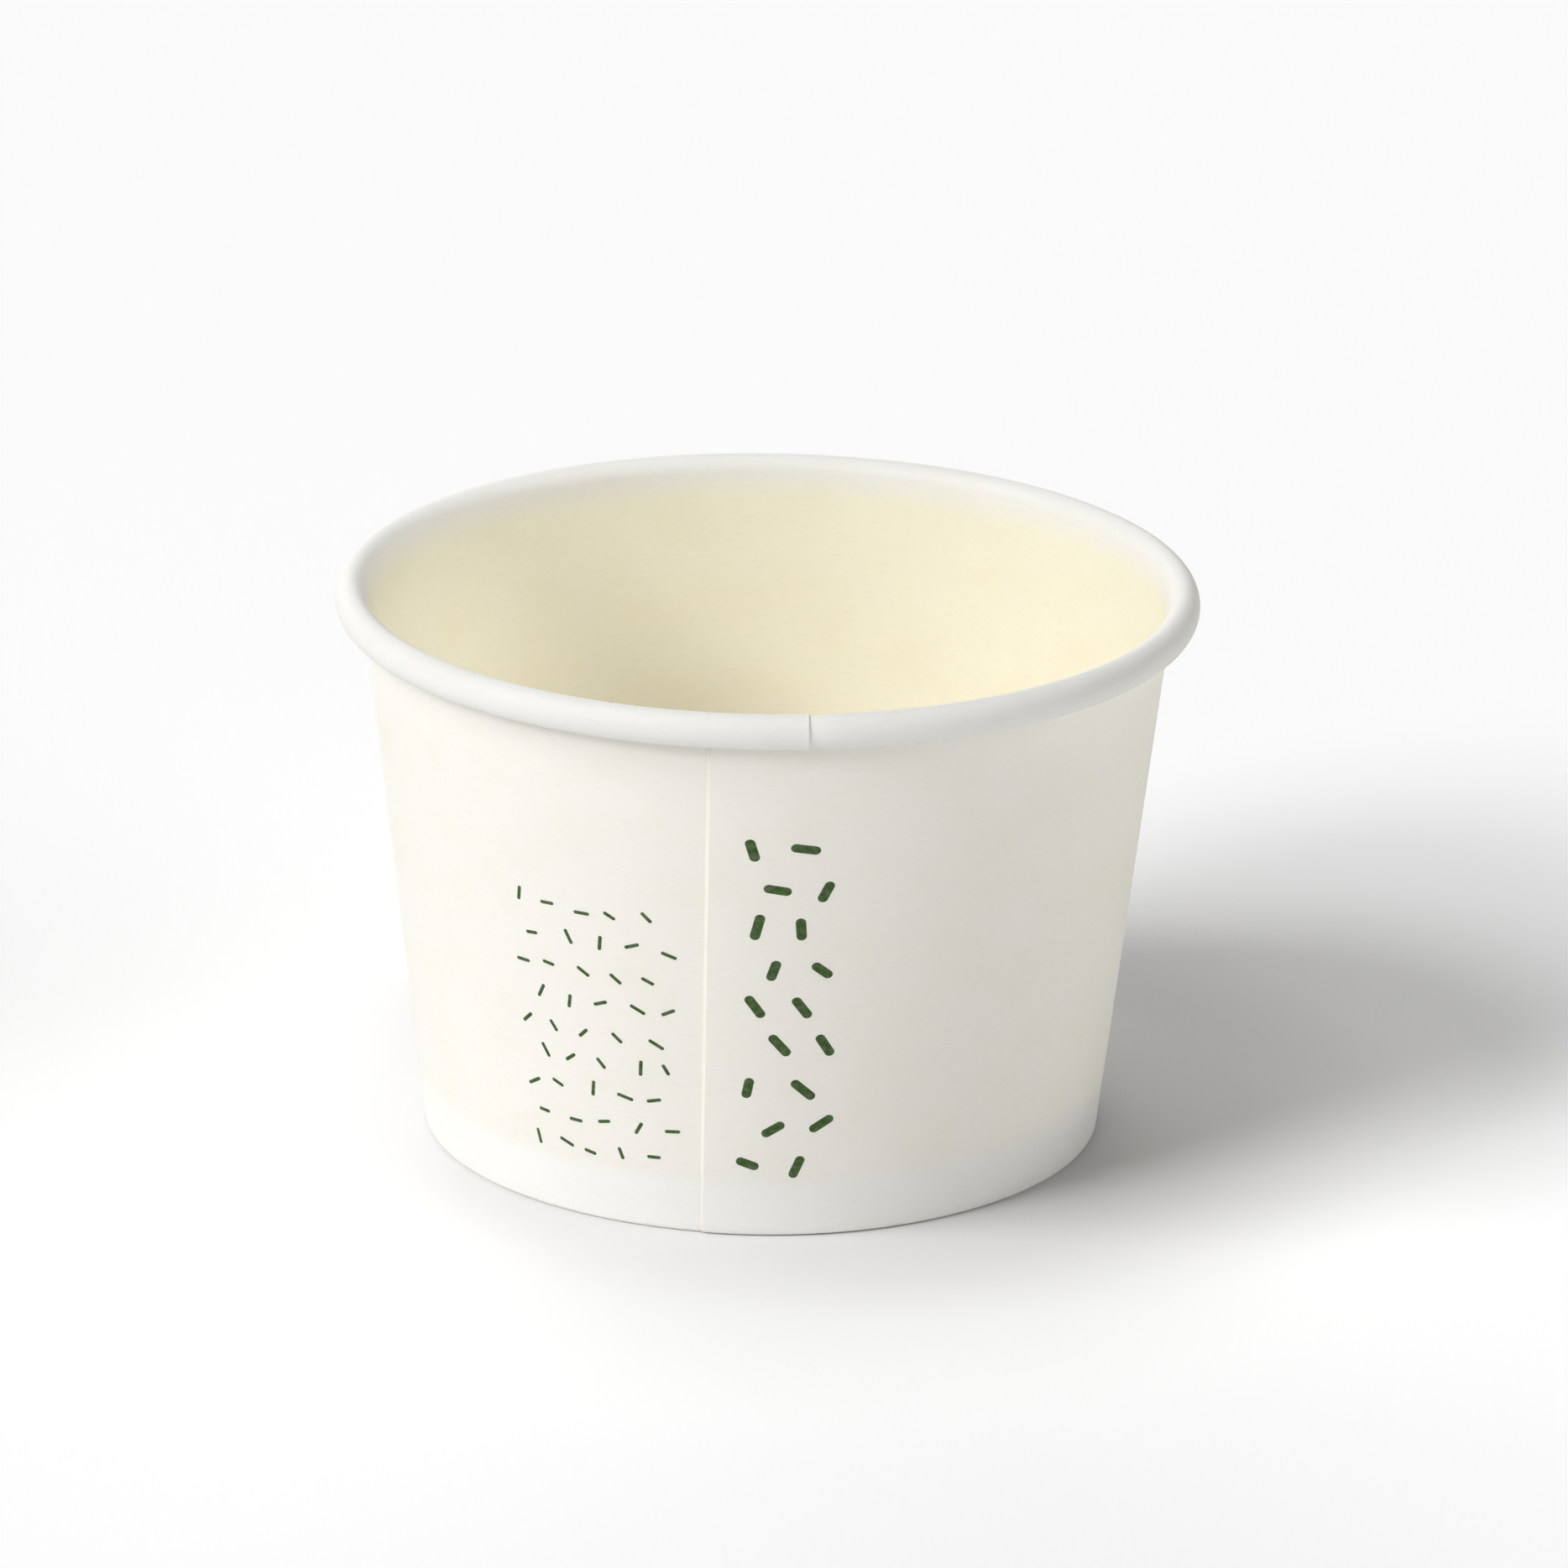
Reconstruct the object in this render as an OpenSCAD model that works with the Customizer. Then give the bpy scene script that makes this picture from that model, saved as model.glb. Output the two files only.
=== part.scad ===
// Paper ice cream cup, about 120 ml: a fan-shaped board blank lapped into a cone, rolled
// outward at the rim and folded up at the foot round the turned-down edge of a board bottom.
// Millimetres, +Z up, origin at the middle of the foot on the table, front of the cup at -Y.
// Azimuths are degrees round the cup from the front towards +X.

/* [Cup] */
// Diameter over the rolled rim
rim_d = 76; // [70:0.5:84]
// Height from the table to the top of the rim
cup_h = 50; // [40:0.5:60]
// Diameter of the wall's outside where it meets the table
foot_d = 60; // [54:0.5:66]

/* [Board] */
// Thickness of the wall's board
wall_t = 0.35; // [0.25:0.05:0.4]
// Thickness of the bottom's board
base_t = 0.3; // [0.25:0.05:0.4]
// Thickness of the sealed joint between the bottom's edge and the wall
seal_gap = 0.05; // [0.04:0.01:0.08]

/* [Rolled rim] */
// Width of the roll, from the inside of the wall outwards
roll_w = 2.7; // [2.5:0.1:3.2]
// Height of the roll
roll_h = 3.1; // [2.8:0.1:3.6]
// Clearance between the roll's tucked end and the lapped wall
tuck_gap = 0.05; // [0.03:0.01:0.1]

/* [Side seam] */
// Azimuth of the inner ply's cut edge, which shows as a slit in the roll
seam_azimuth = 5.85; // [0:0.05:12]
// Overlap of the blank's two ends under the rim
lap_rim_w = 8.5; // [6:0.25:11]
// Overlap of the blank's two ends at the foot
lap_foot_w = 8.25; // [6:0.25:11]
// Distance past the slit in which the roll comes level with the ply on top
roll_ease_w = 2.5; // [2:0.25:6]
// Distance past the inner cut edge in which the wall settles into one ply's place
wall_ease_w = 20; // [12:1:26]

/* [Foot and bottom] */
// Height of the bottom's underside above the table
recess_h = 5; // [4.5:0.1:8]
// Distance from the hem's cut edge up to the bottom's underside
hem_gap = 0.8; // [0.6:0.1:2]
// Inside radius of the crease at the foot
crease_r = 0.08; // [0.04:0.01:0.12]
// Inside radius of the bend at the bottom's edge
base_bend_r = 0.25; // [0.15:0.05:0.5]

/* [Hidden] */

board_colour = [0.94, 0.94, 0.91];
bottom_colour = [0.95, 0.9, 0.78];

// Ellipse of the roll's outside, and the lean of the wall that runs into it from the foot
roll_a = roll_w / 2;
roll_b = roll_h / 2;
roll_r = rim_d / 2 - roll_a;
roll_z = cup_h - roll_b;
wall_run = roll_r - roll_a - foot_d / 2;
lean = atan(wall_run / roll_z) + asin(wall_t / norm([roll_z, wall_run]));

// The roll leaves the wall where its ellipse runs parallel to it, and turns outward and down
roll_start = 180 - atan(roll_b / roll_a * tan(lean));
roll_end = -140;
roll_step = 18;
roll_turns = ceil((roll_start - roll_end) / roll_step);
root = [roll_r + roll_a * cos(roll_start), roll_z + roll_b * sin(roll_start)];

// The board's two faces along the wall, and the direction from its inner face to its outer one
wall_out = [cos(lean), -sin(lean)];
function inner_r(z) = root[0] - (root[1] - z) * tan(lean);
function outer_r(z) = inner_r(z) + wall_t / cos(lean);

// Past its underside the roll tightens, until its end stands beside the two plies of the lap
tuck_start = -60;
tuck_size = (inner_r(roll_z) + 2 * wall_t / cos(lean) + tuck_gap - roll_r)
    / (roll_a * cos(roll_end) - roll_b * sin(roll_end) * tan(lean));
function roll_size(a) =
    a > tuck_start ? 1 : 1 - (1 - tuck_size) * pow((tuck_start - a) / (tuck_start - roll_end), 1.5);
function roll_point(a) =
    [roll_r + roll_a * roll_size(a) * cos(a), roll_z + roll_b * roll_size(a) * sin(a)];
function unit(v) = v / norm(v);
function roll_depth(a) = unit([-cos(a) / roll_a, -sin(a) / roll_b]);

// The hem stands parallel to the wall, with the bottom's edge and its two sealed joints between
hem_h = recess_h - hem_gap;
pocket_w = base_t + 2 * seal_gap;
land_outer_r = inner_r(wall_t) - crease_r * tan((90 - lean) / 2);
land_inner_r = inner_r(wall_t) - pocket_w / cos(lean) + crease_r * tan((90 + lean) / 2);
crease_steps = 3;
function crease_station(centre_r, a) =
    [[centre_r + crease_r * cos(a), wall_t + crease_r + crease_r * sin(a)],
     [cos(a), sin(a)], [cos(a), 0], wall_ease_w];

// Section of the board from the roll's end down to the hem's edge. A station is
// [point on the inner face, direction to the outer face, direction that a second ply adds,
// width in which the board eases inward past the inner cut edge]
section = [
    for (i = [roll_turns : -1 : 0])
        let (a = roll_start - (roll_start - roll_end) * i / roll_turns,
             rolled = min(1, (roll_start - a) / (roll_start - 90)))
        [roll_point(a), roll_depth(a), roll_depth(a),
         wall_ease_w + (roll_ease_w - wall_ease_w) * rolled],
    for (share = [0.6, 0.25])
        [[inner_r(cup_h * share), cup_h * share], wall_out, [wall_out[0], 0], wall_ease_w],
    for (i = [0 : crease_steps])
        crease_station(land_outer_r, -lean - (90 - lean) * i / crease_steps),
    for (i = [0 : crease_steps])
        crease_station(land_inner_r, -90 - (90 + lean) * i / crease_steps),
    [[inner_r(hem_h) - pocket_w / cos(lean), hem_h], -wall_out, [-wall_out[0], 0], wall_ease_w]
];
stations = len(section);

// Overlap in degrees at a height
function lap_angle(z) =
    (lap_foot_w + (lap_rim_w - lap_foot_w) * z / cup_h) / outer_r(z) * 180 / PI;

// A ring is [in the lap or not, share of that stretch]. The rings stand close together past the
// inner cut edge, where the board eases inward, and each cut edge lies between two rings
free_angle = 360 - lap_angle(cup_h / 2);
cut_angle = 0.15;
near_step = 1.7;
mid_step = 3.4;
far_step = 5.2;
near_angle = 7 * near_step;
mid_angle = max(near_angle + mid_step, wall_ease_w / foot_d * 360 / PI);
last_angle = free_angle - cut_angle;
far_count = ceil((last_angle - mid_angle) / far_step);
lap_count = 4;
free_angles = [
    cut_angle,
    for (a = [near_step : near_step : near_angle - near_step / 2]) a,
    for (a = [near_angle : mid_step : mid_angle - mid_step / 2]) a,
    for (i = [0 : far_count]) mid_angle + (last_angle - mid_angle) * i / far_count
];
rings = [
    for (i = [0 : lap_count]) [true, i / lap_count],
    for (a = free_angles) [false, a / free_angle]
];
turns = len(rings);

function ring_azimuth(ring, z) =
    ring[0] ? seam_azimuth - (1 - ring[1]) * lap_angle(z)
            : seam_azimuth + ring[1] * (360 - lap_angle(z));

// How much of the second ply's depth the single board still stands out past the inner cut edge
function stand_out(ring, z, ease_w) =
    let (run = ring[1] * (360 - lap_angle(z)) * PI / 180 * outer_r(z) / ease_w)
    ring[0] || run >= 1 ? 0 : (1 + cos(180 * run)) / 2;

// Points of one ring: the inner face from the roll's end to the hem's edge, then the outer face
function placed(p, azimuth) = [p[0] * sin(azimuth), -p[0] * cos(azimuth), p[1]];
function ring_points(ring) = [
    for (face = [0, 1]) for (s = section)
        let (z = s[0][1],
             second = ring[0] ? face : stand_out(ring, z, s[3]),
             p = s[0] + wall_t * (face * s[1] + second * s[2]))
        placed(p, ring_azimuth(ring, z))
];

// Skin between two neighbouring rings, round the whole section
loop = [for (k = [0 : stations - 1]) k, for (k = [stations - 1 : -1 : 0]) stations + k];
function corner(turn, k) = (turn % turns) * 2 * stations + k;
function skin(turn) = [
    for (i = [0 : len(loop) - 1])
        let (a = loop[i], b = loop[(i + 1) % len(loop)])
        each [[corner(turn, a), corner(turn, b), corner(turn + 1, b)],
              [corner(turn, a), corner(turn + 1, b), corner(turn + 1, a)]]
];

module side_wall() {
    color(board_colour)
        polyhedron(points = [for (ring = rings) each ring_points(ring)],
                   faces = [for (turn = [0 : turns - 1]) each skin(turn)], convexity = 12);
}

// The bottom is a flat disc whose edge is turned down into the pocket between wall and hem
module bottom_disc() {
    bend_steps = 6;
    skirt_foot = wall_t + seal_gap;
    bend_z = recess_h - base_bend_r;
    function skirt_r(z) = inner_r(z) - seal_gap / cos(lean);
    bend_centre = [skirt_r(bend_z) - (base_bend_r + base_t) / cos(lean), bend_z];
    function bend(r, i) =
        let (a = 90 - (90 + lean) * i / bend_steps) bend_centre + r * [cos(a), sin(a)];
    color(bottom_colour)
        rotate_extrude($fn = 144)
            polygon([
                [0, recess_h + base_t],
                for (i = [0 : bend_steps]) bend(base_bend_r + base_t, i),
                [skirt_r(skirt_foot), skirt_foot],
                [skirt_r(skirt_foot) - base_t / cos(lean), skirt_foot],
                for (i = [bend_steps : -1 : 0]) bend(base_bend_r, i),
                [0, recess_h]
            ]);
}

side_wall();
bottom_disc();
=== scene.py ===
"""Paper ice cream cup, dressed for rendering and laid out as a Blender add-on.

The wall and the bottom are each one sheet of board. One Geometry Nodes tree sweeps a board's
section round the cup, with the overlap of its ends, the slit that this leaves in the rolled
rim and the ribs pressed into the hem. Lengths are metres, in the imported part's own frame.
"""

import math

import bpy
from mathutils import Matrix, Vector


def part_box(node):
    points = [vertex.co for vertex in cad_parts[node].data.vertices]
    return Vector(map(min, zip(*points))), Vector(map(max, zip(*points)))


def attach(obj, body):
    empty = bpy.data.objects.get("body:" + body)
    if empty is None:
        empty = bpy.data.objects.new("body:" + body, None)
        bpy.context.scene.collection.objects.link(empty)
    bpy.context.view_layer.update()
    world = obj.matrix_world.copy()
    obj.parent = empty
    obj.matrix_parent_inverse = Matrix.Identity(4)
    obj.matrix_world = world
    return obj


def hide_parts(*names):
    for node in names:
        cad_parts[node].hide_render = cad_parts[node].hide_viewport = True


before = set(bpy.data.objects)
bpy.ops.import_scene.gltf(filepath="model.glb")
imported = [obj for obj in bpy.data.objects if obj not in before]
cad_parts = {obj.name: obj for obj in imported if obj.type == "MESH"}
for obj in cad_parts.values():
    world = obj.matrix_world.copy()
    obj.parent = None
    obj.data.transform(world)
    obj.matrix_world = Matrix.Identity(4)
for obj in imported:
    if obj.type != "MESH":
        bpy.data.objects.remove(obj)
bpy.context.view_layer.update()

bl_info = {
    "name": "Paper ice cream cup",
    "version": (1, 0, 0),
    "blender": (4, 5, 0),
    "location": "3D View > Sidebar > Paper cup",
    "description": "A lapped and rolled paper cup with its board, print and studio",
    "category": "Object",
}

MM = 0.001
TURN = 2 * math.pi
WALL_LOW, WALL_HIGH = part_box("side_wall")
BOTTOM_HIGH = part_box("bottom_disc")[1]
BOTTOM_BOARD = 0.3 * MM
MERGE_DISTANCE = 0.001 * MM
SHARP_ANGLE = math.radians(34)


def length(name, description, default):
    """A property that holds a length."""
    return bpy.props.FloatProperty(
        name=name, description=description, default=default, unit="LENGTH", precision=5
    )


def angle(name, description, degrees):
    """A property that holds an angle, given in degrees."""
    return bpy.props.FloatProperty(
        name=name, description=description, default=math.radians(degrees), unit="ROTATION"
    )


def number(name, description, default):
    """A property that holds a plain number."""
    return bpy.props.FloatProperty(name=name, description=description, default=default)


def count(name, description, default):
    """A property that holds a whole number."""
    return bpy.props.IntProperty(name=name, description=description, default=default, min=1)


def colour(name, description, default):
    """A property that holds a colour."""
    return bpy.props.FloatVectorProperty(
        name=name, description=description, default=default, subtype="COLOR", size=3, min=0, max=1
    )


class CupSizes(bpy.types.PropertyGroup):
    """Sizes of the two boards and of the way they are formed."""

    rim_diameter: length("Rim diameter", "Over the rolled rim", WALL_HIGH.x - WALL_LOW.x)
    cup_height: length("Height", "Table to the top of the rim", WALL_HIGH.z)
    foot_diameter: length("Foot diameter", "Outside of the wall at the table", 60 * MM)
    wall_board: length("Wall board", "Thickness of the wall's board", 0.35 * MM)
    bottom_board: length("Bottom board", "Thickness of the bottom's board", BOTTOM_BOARD)
    seal_gap: length("Seal", "Thickness of the sealed joint in the foot", 0.05 * MM)
    roll_width: length("Roll width", "From the inside of the wall outwards", 2.7 * MM)
    roll_height: length("Roll height", "Height of the rolled rim", 3.1 * MM)
    tuck_gap: length("Tuck gap", "Between the roll's end and the lapped wall", 0.05 * MM)
    slit_azimuth: angle("Slit azimuth", "Inner ply's cut edge, from the front towards +X", 5.98)
    lap_at_rim: length("Overlap at the rim", "Overlap of the blank's ends", 8.27 * MM)
    lap_at_foot: length("Overlap at the foot", "Overlap of the blank's ends", 7.92 * MM)
    groove_width: length("Groove width", "Width of the slit's groove in the roll", 1.8 * MM)
    groove_depth: number("Groove depth", "Depth of the slit's groove on top, in boards", 0.3)
    groove_depth_under: number("Groove depth below", "The same under the roll, in boards", 0.9)
    lip_height: length("Lip", "How far the cut edge stands up beside the slit", 0.06 * MM)
    settle_width: length("Settling width", "Where the wall settles past the slit", 20 * MM)
    cut_width: length("Cut edge width", "Width of the pressed outer cut edge", 0.5 * MM)
    recess: length("Recess", "Height of the bottom's underside", BOTTOM_HIGH.z - BOTTOM_BOARD)
    hem_gap: length("Hem gap", "From the hem's edge up to the bottom's underside", 0.8 * MM)
    crease_radius: length("Crease radius", "Inside radius of the crease at the foot", 0.08 * MM)
    bend_radius: length("Bend radius", "Inside radius at the bottom's edge", 0.25 * MM)
    bottom_sag: length("Bottom sag", "How far the bottom's middle hangs", 0.12 * MM)
    rib_count: count("Hem ribs", "Ribs pressed into the hem", 96)
    rib_depth: length("Rib depth", "Depth of the hem's ribs", 0.08 * MM)


class CupFinish(bpy.types.PropertyGroup):
    """Colours of the board and of its print."""

    outside: colour("Outside", "Bare board on the outside", (0.965, 0.96, 0.935))
    lining: colour("Lining", "Lined board inside the cup", (0.97, 0.93, 0.778))
    rim: colour("Rim", "Lined board where the roll stretches it", (0.968, 0.968, 0.955))
    cut_edge: colour("Cut edge", "Raw fibre of the cut edges", (0.93, 0.92, 0.875))
    ink: colour("Ink", "Print on the outside", (0.036, 0.092, 0.012))


class CupStudio(bpy.types.PropertyGroup):
    """Camera, lamps and floor."""

    camera_elevation: angle("Camera elevation", "Above the horizon", 19.322)
    camera_roll: angle("Camera roll", "Turn about the line of sight", 0.824)
    camera_distance: length("Camera distance", "From the camera to the point it aims at", 0.9204)
    camera_lens: number("Lens", "Focal length in millimetres on a 36 mm sensor", 238.92)
    aim_x: length("Aim to the side", "Point the camera aims at, along X", 1.66 * MM)
    aim_z: length("Aim height", "Point the camera aims at, above the table", 30.97 * MM)
    sky: number("Sky", "Strength of the even light from all round", 0.02)
    sky_shown: number("Sky shown", "Strength of the sky as the camera sees it", 0.985)
    floor: number("Floor", "Grey of the floor as a reflector", 0.84)
    floor_shown: number("Floor shown", "Grey of the floor as the camera sees it", 1.0)
    # Painted shade: the floor's shown grey is darkened round the foot by place alone, standing in for
    # a shadow that the lamps don't cast
    shade: number("Shade", "Share of the shown grey that is left beside the foot", 0.73)
    shade_x: length("Shade to the side", "Middle of the soft shade, along X", 9 * MM)
    shade_y: length("Shade behind", "Middle of the soft shade, along Y", 6 * MM)
    shade_reach: length("Shade reach", "Where the soft shade ends, from its middle", 58 * MM)
    shade_core: length("Shade core", "Where the soft shade starts to fade", 32 * MM)


class Wire:
    """One output of a node tree, on which Python's operators add Math nodes."""

    def __init__(self, nodes, socket):
        self.nodes = nodes
        self.socket = socket

    def math(self, operation, *others):
        """This value and others through one Math node."""
        return self.nodes.math(operation, self, *others)

    def __add__(self, other):
        return self.nodes.math("ADD", self, other)

    def __radd__(self, other):
        return self.nodes.math("ADD", other, self)

    def __sub__(self, other):
        return self.nodes.math("SUBTRACT", self, other)

    def __rsub__(self, other):
        return self.nodes.math("SUBTRACT", other, self)

    def __mul__(self, other):
        return self.nodes.math("MULTIPLY", self, other)

    def __rmul__(self, other):
        return self.nodes.math("MULTIPLY", other, self)

    def __truediv__(self, other):
        return self.nodes.math("DIVIDE", self, other)

    def __rtruediv__(self, other):
        return self.nodes.math("DIVIDE", other, self)

    def __neg__(self):
        return self.nodes.math("MULTIPLY", self, -1)

    def __gt__(self, other):
        return self.nodes.math("GREATER_THAN", self, other)

    def __lt__(self, other):
        return self.nodes.math("LESS_THAN", self, other)


class Nodes:
    """A node tree that is written as expressions."""

    def __init__(self, tree):
        self.tree = tree

    def add(self, kind, settings=None, values=None, output=0):
        """A node of one kind. settings go to its properties and values to its sockets."""
        node = self.tree.nodes.new(kind)
        for name, value in (settings or {}).items():
            setattr(node, name, value)
        for key, value in (values or {}).items():
            sockets = [s for s in node.inputs if s.enabled]
            found = sockets[key] if isinstance(key, int) else next(s for s in sockets if s.name == key)
            self.put(found, value)
        shown = [s for s in node.outputs if s.enabled]
        return Wire(self, shown[output] if isinstance(output, int) else node.outputs[output])

    def put(self, socket, value):
        """Links a wire to a socket, or sets the socket's own value."""
        if isinstance(value, Wire):
            self.tree.links.new(value.socket, socket)
        else:
            socket.default_value = value

    def math(self, operation, *values):
        """One Math node."""
        return self.add("ShaderNodeMath", {"operation": operation}, dict(enumerate(values)))

    def vector_math(self, operation, *values):
        """One Vector Math node."""
        return self.add("ShaderNodeVectorMath", {"operation": operation}, dict(enumerate(values)))

    def vector(self, x, y, z):
        """Three values as one vector."""
        return self.add("ShaderNodeCombineXYZ", {}, {"X": x, "Y": y, "Z": z})

    def mix_colour(self, factor, a, b):
        """Two colours mixed."""
        settings = {"data_type": "RGBA", "clamp_factor": True}
        return self.add("ShaderNodeMix", settings, {"Factor": factor, "A": a, "B": b})

    def between(self, value, start, end, low=0.0, high=1.0):
        """A smooth step from low to high while value goes from start to end."""
        settings = {"interpolation_type": "SMOOTHSTEP"}
        values = {"Value": value, "From Min": start, "From Max": end, "To Min": low, "To Max": high}
        return self.add("ShaderNodeMapRange", settings, values)


class BoardNodes(Nodes):
    """The nodes of a tree that forms a board."""

    def attribute(self, name):
        """An attribute of the mesh that is worked on."""
        return self.add("GeometryNodeInputNamedAttribute", {"data_type": "FLOAT"}, {"Name": name})

    def points(self, geometry):
        """How many points a mesh has."""
        values = {"Geometry": geometry}
        return self.add("GeometryNodeAttributeDomainSize", {}, values, "Point Count")

    def sampled(self, geometry, name, at):
        """An attribute of one point of another mesh."""
        values = {"Geometry": geometry, "Value": self.attribute(name), "Index": at}
        return self.add("GeometryNodeSampleIndex", {"data_type": "FLOAT"}, values)

    def store(self, mesh, name, value, domain, data_type="FLOAT"):
        """The mesh with an attribute stored on it."""
        settings = {"data_type": data_type, "domain": domain}
        values = {"Geometry": mesh, "Name": name, "Value": value}
        return self.add("GeometryNodeStoreNamedAttribute", settings, values)


# Board as it is formed

class Form:
    """Lines that the wall's section is drawn from, in the plane of radius and height."""

    def __init__(self, sizes):
        board = sizes.wall_board
        self.sizes = sizes
        self.roll_a = sizes.roll_width / 2
        self.roll_b = sizes.roll_height / 2
        self.roll_r = sizes.rim_diameter / 2 - self.roll_a
        self.roll_z = sizes.cup_height - self.roll_b
        run = self.roll_r - self.roll_a - sizes.foot_diameter / 2
        self.lean = math.atan2(run, self.roll_z) + math.asin(board / math.hypot(self.roll_z, run))
        self.slope = math.tan(self.lean)
        self.across = board / math.cos(self.lean)
        self.roll_start = math.pi - math.atan(self.roll_b / self.roll_a * self.slope)
        self.root_r = self.roll_r + self.roll_a * math.cos(self.roll_start)
        self.root_z = self.roll_z + self.roll_b * math.sin(self.roll_start)

    def inner_r(self, z):
        """Radius of the wall's inner face at a height."""
        return self.root_r - (self.root_z - z) * self.slope

    def outer_r(self, z):
        """Radius of the wall's outer face at a height."""
        return self.inner_r(z) + self.across


def station(r, z, depth, ply, ease, pressed=0.0, skew=0.0, lip=0.0):
    """A point of a section, on the board's lined face.

    depth is the direction to the outer face, ply the direction that a second ply adds, ease
    the width in which the board settles past the slit, pressed the share of the ribs, skew
    the turn that keeps the slit upright, lip the height of its lip and up the height on the
    flat blank, which flatten sets.
    """
    return {"r": r, "z": z, "up": z, "depth_r": depth[0], "depth_z": depth[1], "ply_r": ply[0],
            "ply_z": ply[1], "ease": ease, "pressed": pressed, "skew": skew, "lip": lip}


def flatten(stations, fixed):
    """Gives each station its height on the flat blank, along the board from the fixed one."""
    for places, back in ((range(fixed + 1, len(stations)), -1), (range(fixed - 1, -1, -1), 1)):
        for i in places:
            near, here = stations[i + back], stations[i]
            gone = math.hypot(here["r"] - near["r"], here["z"] - near["z"])
            here["up"] = near["up"] + back * gone
    return stations


def roll_stations(form):
    """The roll, from its tucked end up over the top and down to the wall."""
    sizes = form.sizes
    end, tuck_start, tightening = math.radians(-140), math.radians(-60), 1.5
    steps = 44
    two_plies = form.inner_r(form.roll_z) + 2 * form.across + sizes.tuck_gap - form.roll_r
    tucked = two_plies / (form.roll_a * math.cos(end) - form.roll_b * math.sin(end) * form.slope)
    stations = []
    for i in range(steps + 1):
        a = end + (form.roll_start - end) * i / steps
        late = max(0.0, (tuck_start - a) / (tuck_start - end))
        size = 1 - (1 - tucked) * late ** tightening
        depth = Vector((-math.cos(a) / form.roll_a, -math.sin(a) / form.roll_b)).normalized()
        rolled = min(1.0, (form.roll_start - a) / (form.roll_start - math.pi / 2))
        ease = sizes.settle_width + (sizes.groove_width - sizes.settle_width) * rolled
        under = min(1.0, max(0.0, (math.pi / 2 - a) / math.pi))
        groove = sizes.groove_depth + (sizes.groove_depth_under - sizes.groove_depth) * under
        ply = depth * (1 - (1 - groove) * rolled)
        r = form.roll_r + form.roll_a * size * math.cos(a)
        z = form.roll_z + form.roll_b * size * math.sin(a)
        skew = sizes.slit_azimuth * (form.root_r / r - 1)
        lip = sizes.lip_height * rolled
        stations.append(station(r, z, depth, ply, ease, skew=skew, lip=lip))
    return stations


def wall_stations(form):
    """The plain wall between the roll and the crease."""
    steps, boards_above_table = 18, 3
    top, foot = form.root_z, boards_above_table * form.sizes.wall_board
    out = (math.cos(form.lean), -math.sin(form.lean))
    heights = [top + (foot - top) * i / steps for i in range(1, steps + 1)]
    return [station(form.inner_r(z), z, out, (out[0], 0), form.sizes.settle_width) for z in heights]


def crease_stations(form, centre_r, start, turn):
    """One rounded corner of the crease at the foot."""
    steps, radius = 5, form.sizes.crease_radius
    stations = []
    for i in range(steps + 1):
        a = start - turn * i / steps
        out = (math.cos(a), math.sin(a))
        r = centre_r + radius * out[0]
        z = form.sizes.wall_board + radius + radius * out[1]
        stations.append(station(r, z, out, (out[0], 0), form.sizes.settle_width))
    return stations


def hem_stations(form, pocket):
    """The hem, folded in and up round the bottom's edge, with its ribs pressed in."""
    steps, rise_steps, radii_above_fold = 7, 1.5, 2.5
    low = form.sizes.wall_board + radii_above_fold * form.sizes.crease_radius
    high = form.sizes.recess - form.sizes.hem_gap
    out = (-math.cos(form.lean), math.sin(form.lean))
    stations = []
    for i in range(steps + 1):
        z = low + (high - low) * i / steps
        r = form.inner_r(z) - pocket
        pressed = min(1.0, (steps - i) / rise_steps, max(0.0, (i - 1) / rise_steps))
        stations.append(station(r, z, out, (out[0], 0), form.sizes.settle_width, pressed))
    return stations


def wall_section(sizes):
    """Stations of the wall's board, from the roll's end down to the hem's edge."""
    form = Form(sizes)
    pocket = (sizes.bottom_board + 2 * sizes.seal_gap) / math.cos(form.lean)
    square, radius = math.pi / 2, sizes.crease_radius
    foot_r = form.inner_r(sizes.wall_board)
    outer_centre = foot_r - radius * math.tan((square - form.lean) / 2)
    inner_centre = foot_r - pocket + radius * math.tan((square + form.lean) / 2)
    above = [*roll_stations(form), *wall_stations(form)]
    return flatten([
        *above,
        *crease_stations(form, outer_centre, -form.lean, square - form.lean),
        *crease_stations(form, inner_centre, -square, square + form.lean),
        *hem_stations(form, pocket),
    ], len(above) - 1)


def bottom_section(sizes):
    """Stations of the bottom's board, from its middle out and down its turned edge."""
    form = Form(sizes)
    board, radius = sizes.bottom_board, sizes.bend_radius
    flat_steps, bend_steps, skirt_steps = 16, 8, 6
    no_ply, no_slit = (0, 0), 1
    top = sizes.recess + board
    skirt_foot = sizes.wall_board + sizes.seal_gap
    bend_z = sizes.recess - radius
    clear = sizes.seal_gap / math.cos(form.lean)
    centre_r = form.inner_r(bend_z) - clear - (radius + board) / math.cos(form.lean)
    stations = []
    for i in range(flat_steps):
        r = centre_r * i / flat_steps
        sag = sizes.bottom_sag * (1 - (r / centre_r) ** 2)
        stations.append(station(r, top - sag, (0, -1), no_ply, no_slit))
    for i in range(bend_steps + 1):
        a = math.pi / 2 - (math.pi / 2 + form.lean) * i / bend_steps
        out = (math.cos(a), math.sin(a))
        r = centre_r + (radius + board) * out[0]
        z = bend_z + (radius + board) * out[1]
        stations.append(station(r, z, (-out[0], -out[1]), no_ply, no_slit))
    for left in range(skirt_steps, 0, -1):
        z = stations[-1]["z"] + (skirt_foot - stations[-1]["z"]) / left
        out = (-math.cos(form.lean), math.sin(form.lean))
        stations.append(station(form.inner_r(z) - clear, z, out, no_ply, no_slit))
    return stations


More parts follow.
